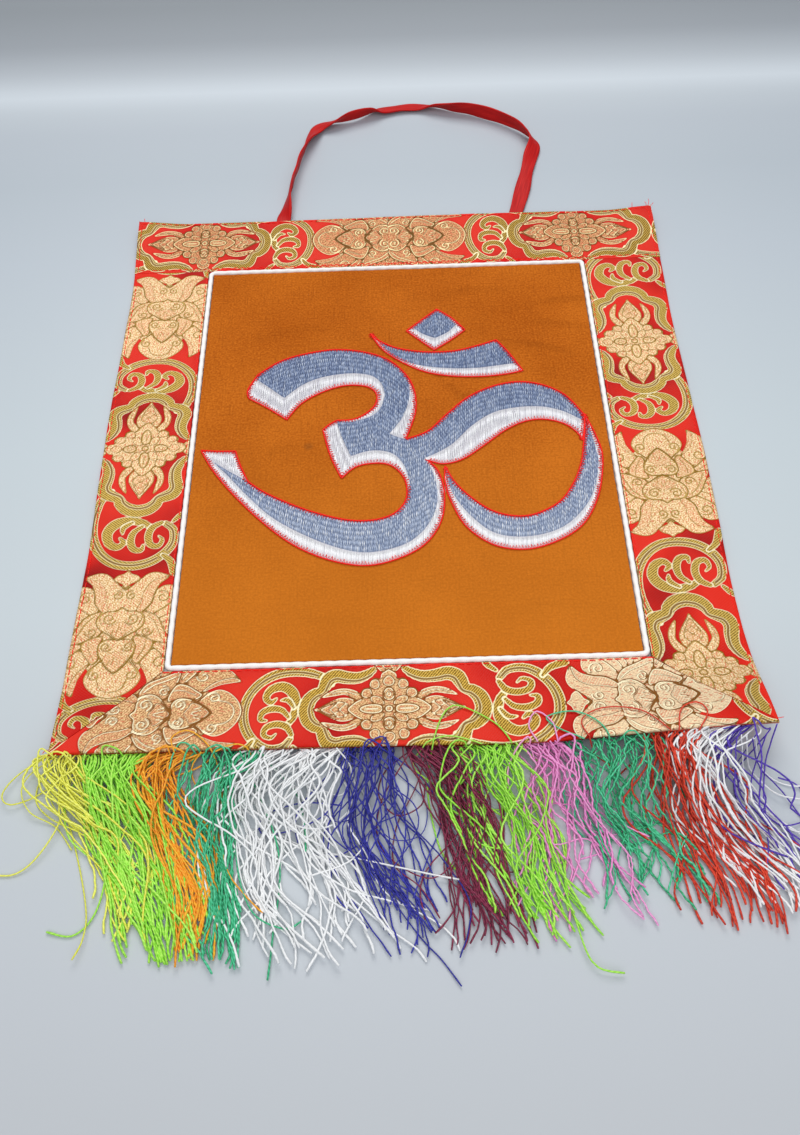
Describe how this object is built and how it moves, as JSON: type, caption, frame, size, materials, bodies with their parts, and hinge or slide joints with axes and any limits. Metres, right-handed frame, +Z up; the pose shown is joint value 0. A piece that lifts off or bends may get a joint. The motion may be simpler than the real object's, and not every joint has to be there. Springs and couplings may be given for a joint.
{
  "type": "brocade hanging banner",
  "caption": "Small cloth wall banner: an embroidered cotton panel framed in red brocade, with white piping, a hanging strap and a long many-coloured yarn fringe.",
  "frame": {"origin": "centre of the panel's underside, on the surface that the banner lies on", "axes": "+Z up out of the cloth's face, +Y towards the head with the hanging strap, +X to the right seen from above"},
  "size_m": [0.3369, 0.5462, 0.0219],
  "materials": {
    "panel_cotton": "matte",
    "red_brocade": "satin",
    "white_piping": "matte",
    "red_satin": "satin",
    "yellow_yarn": "matte",
    "lime_yarn": "matte",
    "orange_yarn": "matte",
    "green_yarn": "matte",
    "white_yarn": "matte",
    "navy_yarn": "matte",
    "maroon_yarn": "matte",
    "pink_yarn": "matte",
    "red_yarn": "matte",
    "purple_yarn": "matte"
  },
  "bodies": {
    "root": {"panel": "panel_cotton", "header_left": "red_brocade", "header_right": "red_brocade", "border_left": "red_brocade", "border_right": "red_brocade", "border_bottom": "red_brocade", "piping": "white_piping", "hanging_strap": "red_satin", "fringe_yellow": "yellow_yarn", "fringe_lime": "lime_yarn", "fringe_orange": "orange_yarn", "fringe_green": "green_yarn", "fringe_white": "white_yarn", "fringe_navy": "navy_yarn", "fringe_maroon": "maroon_yarn", "fringe_lime_right": "lime_yarn", "fringe_pink": "pink_yarn", "fringe_green_right": "green_yarn", "fringe_red": "red_yarn", "fringe_white_right": "white_yarn", "fringe_purple": "purple_yarn"}
  },
  "joints": []
}
